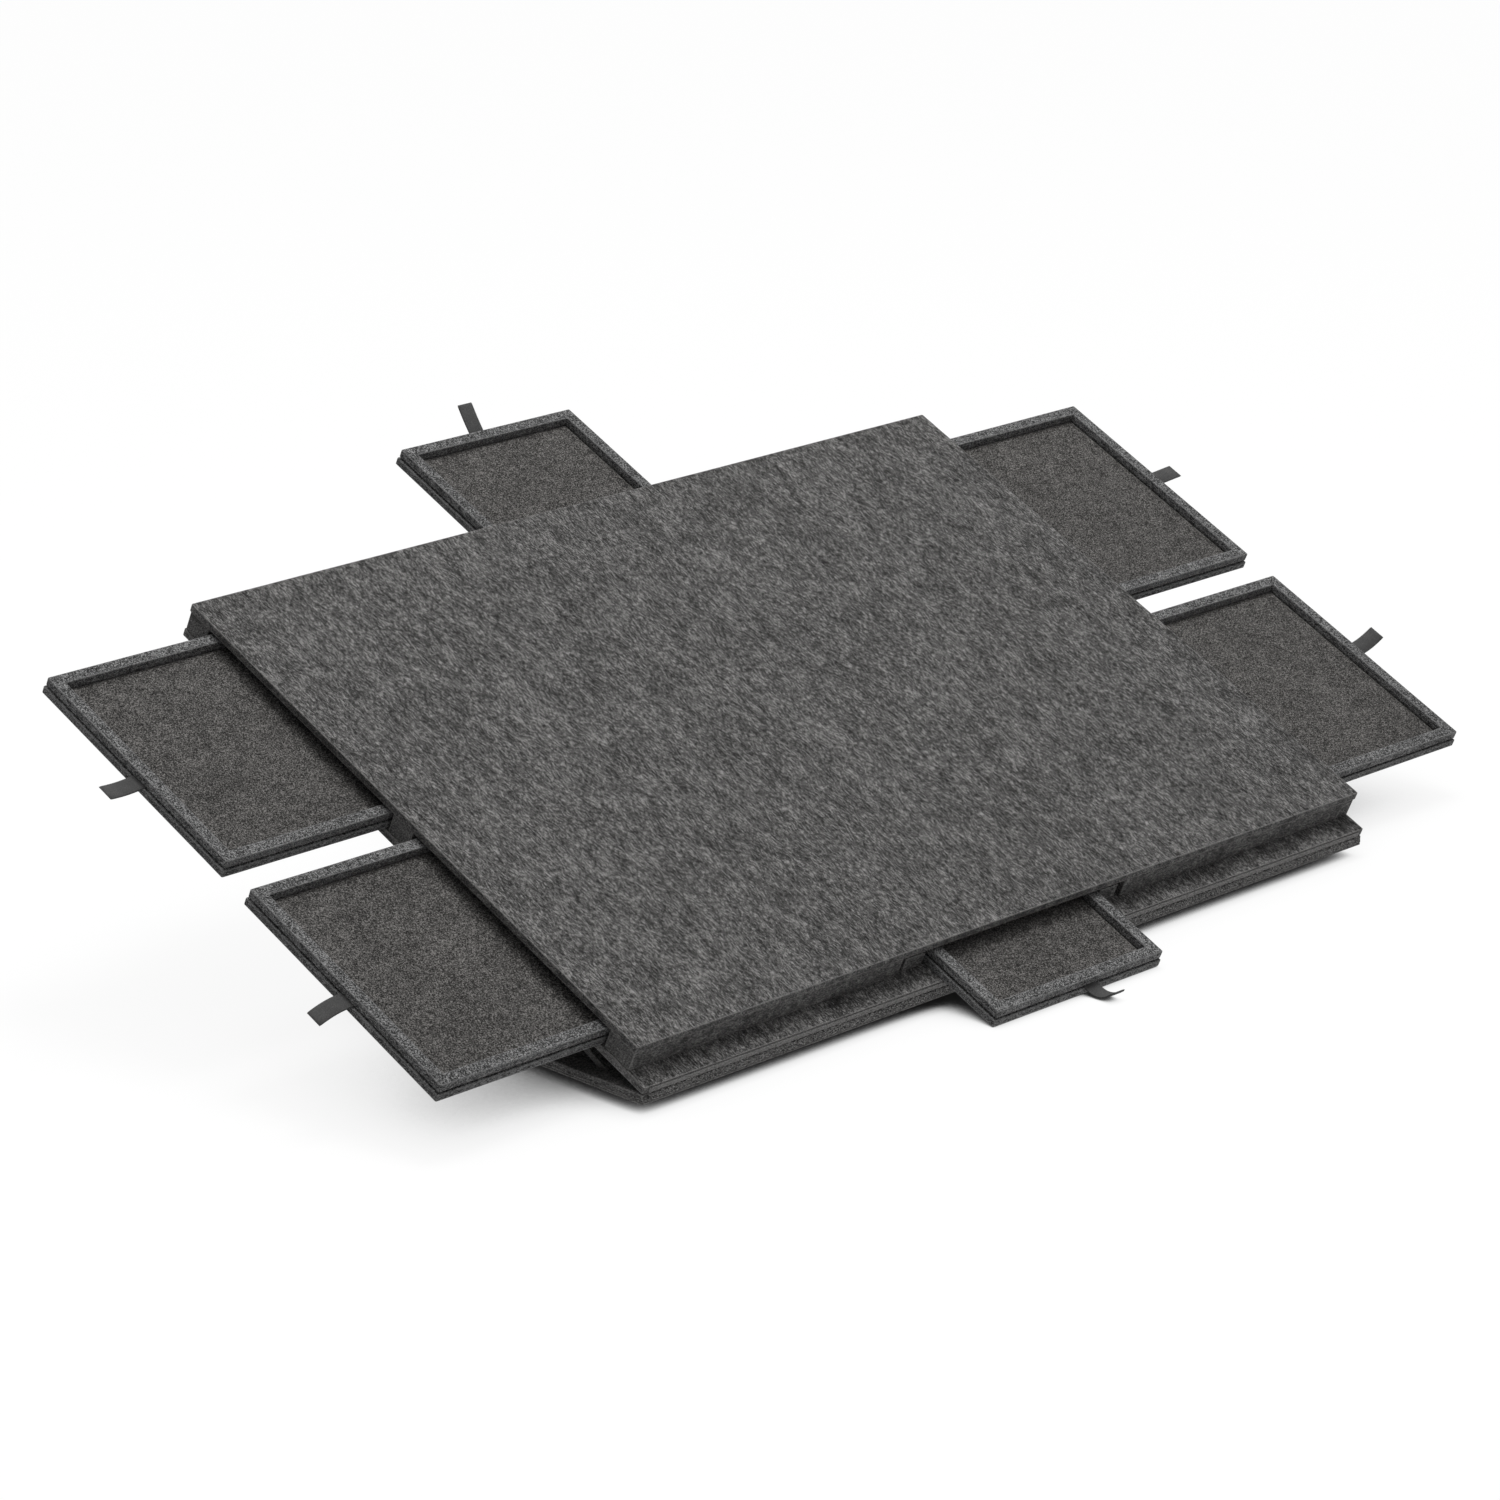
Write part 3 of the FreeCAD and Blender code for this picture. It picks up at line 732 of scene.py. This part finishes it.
def path_mesh(paths):
    """A mesh of edges only, one run of them for each path."""
    points, edges = [], []
    for path in paths:
        first = len(points)
        points.extend(path)
        edges.extend((first + i, first + i + 1) for i in range(len(path) - 1))
    mesh = bpy.data.meshes.new("paths")
    mesh.from_pydata(points, edges, [])
    return mesh


# Case: the two wrapped panels and the frame between them
def dress_case():
    low, high = extent("top_board", CASE)
    felt_line = high.z
    high.z = extent("top_felt", CASE)[1].z
    panel = wrapped_board(low, high, BOARD_EDGE, BOARD_CORNER, plies=[felt_line])
    keep_piece("top_panel", panel, CASE, TOP_FELT, "felt", "top_board", "top_felt")
    low, high = extent("bottom_board", CASE)
    panel = wrapped_board(low, high, BOARD_EDGE, BOARD_CORNER)
    keep_piece("bottom_panel", panel, CASE, CASE_FELT, "wrapped_board", "bottom_board")
    low, high = extent("bottom_felt", CASE)
    sheet = wrapped_board(low, high, SHEET_EDGE, BOARD_CORNER)
    piece = keep_piece("ledge_felt", sheet, CASE, TOP_FELT, "felt", "bottom_felt")
    rails = [f"{side}_{place}_rail" for side in ("left", "right") for place in ("front", "middle", "back")]
    for node in rails + ["left_divider", "right_divider", "middle_stop"]:
        low, high = extent(node, CASE)
        if node.endswith("divider"):
            low.x += DIVIDER_GAP if low.x < 0 else DIVIDER_SLOT
            high.x -= DIVIDER_GAP if high.x > 0 else DIVIDER_SLOT
            high.z -= DIVIDER_TOP_GAP
        board = wrapped_board(low, high, RAIL_EDGE)
        keep_piece(node + "_felted", board, CASE, CASE_FELT, "wrapped_board", node)


# Drawers: floor panel, rim, liner and pull tab
def strap_line(leave, tip, length):
    """Points (out, up) and outward directions along a strap's middle, turning from one angle to another."""
    place, line = Vector((-STRAP_TUCK, 0.0)), []
    step = (length + STRAP_TUCK) / STRAP_STEPS
    for i in range(STRAP_STEPS + 1):
        share = i / STRAP_STEPS
        angle = math.radians(leave + (tip - leave) * share * share * (3 - 2 * share))
        run = Vector((math.cos(angle), math.sin(angle)))
        line.append((place.copy(), run))
        place += run * step
    return line


def strap_section(width, thick):
    """Outline (across, up) of a doubled strap: rounded edges and a groove where its two layers meet."""
    half, deep = width / 2, thick / 2
    right = [(half - STRAP_EDGE, deep), (half, deep - STRAP_EDGE), (half - STRAP_GROOVE, 0.0),
             (half, STRAP_EDGE - deep), (half - STRAP_EDGE, -deep)]
    return [(0.0, deep)] + right + [(0.0, -deep)] + [(-a, -u) for a, u in right]


def pull_tab(drawer, level, out, leave, tip, length):
    """A strap folded double, sewn under the rim, and its stitches."""
    node = f"{drawer}_drawer_tab"
    low, high = extent(node, CASE)
    axis = 0 if out[0] else 1
    out = Vector((*out, 0))
    side = Vector((out.y, -out.x, 0))
    root = (low + high) / 2
    root[axis] = high[axis] if out[axis] < 0 else low[axis]
    root.z = level
    width = high[1 - axis] - low[1 - axis]
    rings, cloth, rows = [], [], []
    line = strap_line(leave, tip, length)
    for i, (place, run) in enumerate(line):
        along = length * i / STRAP_STEPS
        fold = max(0.0, along - (length - STRAP_THICKNESS)) / STRAP_THICKNESS
        section = strap_section(width, STRAP_THICKNESS * math.sqrt(max(STRAP_FOLD_LEAST, 1 - fold ** 2)))
        middle = root + out * place.x + UP * place.y
        lift = UP * run.x - out * run.y
        rings.append([middle + side * a + lift * u for a, u in section])
        cloth.append([(along, a, 0.0) for a, u in section])
    keep_piece(node + "_strap", loft(rings, cloth), CASE, STRAP_CLOTH, "strap", node)
    reach = side * (width / 2 - STITCH_MARGIN)
    for row in STITCH_ROWS:
        place, run = line[round(row / length * STRAP_STEPS)]
        middle = root + out * place.x + UP * place.y
        lift = (UP * run.x - out * run.y) * (STRAP_THICKNESS / 2)
        for seam in (middle + lift, middle - lift):
            rows.append([seam - reach, seam + reach])
    stitches = mesh_from_tree(BEADS, path_mesh(rows), Spacing=STITCH_SPACING, Bead_Size=STITCH_SIZE,
                              Up=UP, Finish=THREAD)
    keep_piece(node + "_stitches", stitches, CASE, THREAD, "strap", body=body_of[node])


def dress_drawers():
    inset = Vector((RIM_INSET, RIM_INSET, 0))
    for drawer, (out, *bend) in PULLS.items():
        name = f"{drawer}_drawer"
        low, high = extent(name + "_floor", CASE)
        panel = wrapped_board(low, high, DRAWER_EDGE, DRAWER_CORNER, FLOOR_SEAM, [(low.z + high.z) / 2])
        keep_piece(name + "_floor_panel", panel, CASE, DRAWER_FELT, "wrapped_board", name + "_floor")
        tab_level = high.z + RIM_SLOT / 2
        low, high = extent(name + "_rim", CASE)
        liner_low, liner_high = extent(name + "_liner", CASE)
        width = round((liner_low.x - low.x) / MM) * MM - RIM_INSET
        rim = rim_frame(low + inset, high - inset, width)
        keep_piece(name + "_rim_frame", rim, CASE, DRAWER_FELT, "wrapped_board", name + "_rim")
        liner = wrapped_board(liner_low, liner_high, SHEET_EDGE)
        piece = keep_piece(name + "_felt_liner", liner, CASE, LINER_FELT, "felt", name + "_liner")
        pull_tab(drawer, tab_level, out, *bend)


# Base leaf: underlay, strips and rubber feet
def turn_foot(bm, profile, centre):
    """Turns (radius, height) points about a vertical line through a centre, from pole to pole."""
    rings = []
    for radius, level in profile:
        turns = [math.tau * i / FOOT_STEPS for i in range(FOOT_STEPS if radius else 1)]
        rings.append([bm.verts.new(centre + Vector((radius * math.cos(t), radius * math.sin(t), level)))
                      for t in turns])
    for first, second in zip(rings, rings[1:]):
        if len(first) == len(second):
            join_rings(bm, first, second)
            continue
        pole, ring = (first[0], second) if len(first) == 1 else (second[0], first)
        for i in range(FOOT_STEPS):
            bm.faces.new((pole, ring[i], ring[(i + 1) % FOOT_STEPS]))


def foot_centres():
    """Middles of the feet, found from their CAD node: its points fall into groups no wider than a foot."""
    points = np.array([v.co for v in nodes["base_feet"].data.vertices])
    centres = []
    while len(points):
        near = np.linalg.norm(points[:, :2] - points[0, :2], axis=1) < FOOT_APART
        low, high = points[near].min(0), points[near].max(0)
        centres.append(Vector(((low[0] + high[0]) / 2, (low[1] + high[1]) / 2, 0)))
        points = points[~near]
    return centres


def dress_base():
    low, high = extent("base_underlay", BASE)
    sheet = wrapped_board(low, high, SHEET_EDGE, BOARD_CORNER)
    piece = keep_piece("base_underlay_felt", sheet, BASE, BASE_FELT, "felt", "base_underlay")
    for node in ("base_front_strip", "base_back_strip", "base_left_strip", "base_right_strip"):
        low, high = extent(node, BASE)
        strip = wrapped_board(low, high, RAIL_EDGE, plies=[(low.z + high.z) / 2])
        keep_piece(node + "_felted", strip, BASE, BASE_FELT, "wrapped_board", node)
    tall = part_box("base_feet")[1].z
    profile = [(FOOT_SOLE * share, level) for share, level in FOOT_SOLE_POINTS]
    profile += [(radius, tall * share) for radius, share in FOOT_WALL_POINTS]
    profile += [(FOOT_TOP, tall - FOOT_LIP), (FOOT_TOP - FOOT_LIP, tall), (0, tall)]
    bm = bmesh.new()
    for centre in foot_centres():
        turn_foot(bm, profile, centre)
    keep_piece("rubber_feet", bm, BASE, RUBBER, "rubber", "base_feet")


# Cloth hinge: one strip that bends from the base's front edge to the bottom board's
def leaf_line(low, high, place):
    """Points up one leaf's board face and the outward normals there, with the plies of its hem."""
    outward = place.to_3x3() @ FRONT
    line = []
    for share, swell in zip(PLY_SHARES, PLY_SWELLS):
        point = place @ Vector((0, high.y - TAPE_GAP, low.z + (high.z - low.z) * share))
        line.append((point, outward, swell))
    return line


def dress_hinge():
    low, high = extent("hinge_tape_base_leaf", BASE)
    thick = high.y - low.y - TAPE_GAP
    on_base = leaf_line(low, high, BASE)
    on_case = leaf_line(*extent("hinge_tape_case_leaf", CASE), CASE)
    bend, start = on_base[-1][0], on_case[0][0]
    fold = (bend + start) / 2 - FRONT * FOLD_DEPTH
    line = on_base + [(fold, FRONT, 0.0)] + on_case
    rings = []
    for x in np.linspace(low.x, high.x, TAPE_STEPS + 1):
        shift = Vector((x, 0, 0))
        outside = [point + outward * (thick + swell) + shift for point, outward, swell in line]
        inside = [point + shift for point, _, _ in line]
        rings.append(outside + inside[::-1])
    strip = loft(rings)
    # The upper leaf is painted paler: a painted highlight where the bottom board's rounded front edge catches the
    # light
    wear_and_highlight_layer = strip.verts.layers.float.new("edge_wear")
    for vert in strip.verts:
        vert[wear_and_highlight_layer] = CASE_LEAF_HIGHLIGHT if vert.co.z > fold.z else 0.0
    piece = keep_piece("cloth_hinge", strip, BASE, HINGE_CLOTH, "hinge_cloth",
                       "hinge_tape_base_leaf", "hinge_tape_case_leaf", body="blended")
    length = sum((b - a).length for (a, _, _), (b, _, _) in zip(line, line[1:]))
    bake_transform(piece)


# Prop: the flap with round heel and tip, its pins and the ribbed strip that it leans on
def dress_prop():
    low, high = extent("prop_flap", FLAP)
    radius = (high.z - low.z) / 2
    far = high.y - radius
    arc = [math.pi * i / HEEL_STEPS for i in range(HEEL_STEPS + 1)]
    outline = [(-radius * math.sin(a), -radius * math.cos(a)) for a in arc]
    outline += [(far + radius * math.sin(a), radius * math.cos(a)) for a in arc]
    bm = loft([[(x, y, z) for y, z in outline] for x in (low.x, high.x)])
    bmesh.ops.recalc_face_normals(bm, faces=bm.faces)
    lines = edge_lines(sharp_edges(bm))
    round_edges(bm, sharp_edges(bm), RAIL_EDGE)
    slice_faces(bm, 0, grid_lines(low.x, high.x))
    slice_faces(bm, 1, grid_lines(0.0, far))
    mark_wear_and_highlight(bm, lines)
    dip(bm)
    keep_piece("prop_flap_felted", bm, FLAP, FLAP_FELT, "wrapped_board", "prop_flap")
    nodes["flap_pins"].data.materials.clear()
    nodes["flap_pins"].data.materials.append(STEEL)

    low, high = extent("flap_grip_strip", CASE)
    face = low.z + RIB_HEIGHT / 2
    strip = wrapped_board(Vector((low.x, low.y, face)), high, RIB_HEIGHT / 2, RIB_WIDTH)
    keep_piece("grip_strip", strip, CASE, RUBBER, "rubber", "flap_grip_strip")
    middle = (low.y + high.y) / 2
    path = [(low.x + RIB_MARGIN, middle, face), (high.x - RIB_MARGIN, middle, face)]
    size = (RIB_WIDTH, high.y - low.y - 2 * RIB_MARGIN, RIB_HEIGHT)
    ribs = mesh_from_tree(BEADS, path_mesh([path]), Spacing=RIB_SPACING, Bead_Size=size,
                          Up=UP, Finish=RUBBER)
    keep_piece("grip_strip_ribs", ribs, CASE, RUBBER, "rubber", body="case")


dress_case()
dress_drawers()
dress_base()
dress_hinge()
dress_prop()


# Stage: pale floor, soft light and the photograph's camera
def set_floor():
    """A floor that the object shades softly from close by. No diffuse light or shadow comes from it."""
    bm = bmesh.new()
    bmesh.ops.create_grid(bm, x_segments=1, y_segments=1, size=FLOOR_HALF)
    mesh = bpy.data.meshes.new("floor")
    bm.to_mesh(mesh)
    bm.free()
    material, surface, shade = new_material(
        "pale_floor", Specular_IOR_Level=0.0, Roughness=FLOOR_ROUGHNESS, Base_Color=grey(FLOOR_TONE),
        Emission_Strength=FLOOR_GLOW)
    open_sky = shade.node("ShaderNodeAmbientOcclusion", {"samples": FLOOR_RAYS},
                          {"Distance": FLOOR_REACH}, "AO")
    glow = open_sky.ramp([(share, grey(light)) for share, light in FLOOR_SHADES])
    shade.feed(surface.inputs["Emission Color"], glow)
    mesh.materials.append(material)
    floor = bpy.data.objects.new("floor", mesh)
    floor.visible_diffuse = False
    floor.visible_shadow = False
    scene.collection.objects.link(floor)


def set_sky():
    """Light that is strong overhead, weak at the sides, and comes back from below as from a pale floor, with
    more of the low light from the front right."""
    world = bpy.data.worlds.new("studio")
    world.use_nodes = True
    sky = Shade(world.node_tree)
    across, along, height = (sky.coordinate("Generated").axis(name) for name in "XYZ")
    lean = (across - along) * SKY_LEAN + 1
    above = height.between(-SKY_HORIZON_BLUR, SKY_HORIZON_BLUR)
    haze = (1 - height.between(0.0, SKY_HAZE_TOP)) * lean * SKY_HAZE
    bounce = lean * SKY_BELOW
    glow = above * (height ** SKY_FALL * SKY_OVERHEAD + haze + SKY_HORIZON - bounce) + bounce
    background = world.node_tree.nodes["Background"]
    background.inputs["Color"].default_value = grey(1.0)
    sky.feed(background.inputs["Strength"], glow)
    scene.world = world


def aim_at(thing, place, aim):
    thing.location = place
    thing.rotation_mode = "QUATERNION"
    thing.rotation_quaternion = (aim - place).to_track_quat("-Z", "Y")
    scene.collection.objects.link(thing)


def set_key_lamp():
    lamp = bpy.data.lights.new("key", "AREA")
    lamp.shape = "DISK"
    lamp.size = KEY_SIZE
    lamp.energy = KEY_POWER
    aim_at(bpy.data.objects.new("key", lamp), KEY_PLACE, KEY_AIM)


def set_camera():
    lens = bpy.data.cameras.new("camera")
    lens.lens = CAMERA_LENS
    lens.sensor_width = CAMERA_SENSOR
    camera = bpy.data.objects.new("camera", lens)
    aim_at(camera, CAMERA_PLACE, CAMERA_AIM)
    scene.camera = camera
    scene.view_settings.view_transform = "Standard"


set_floor()
set_sky()
set_key_lamp()
set_camera()
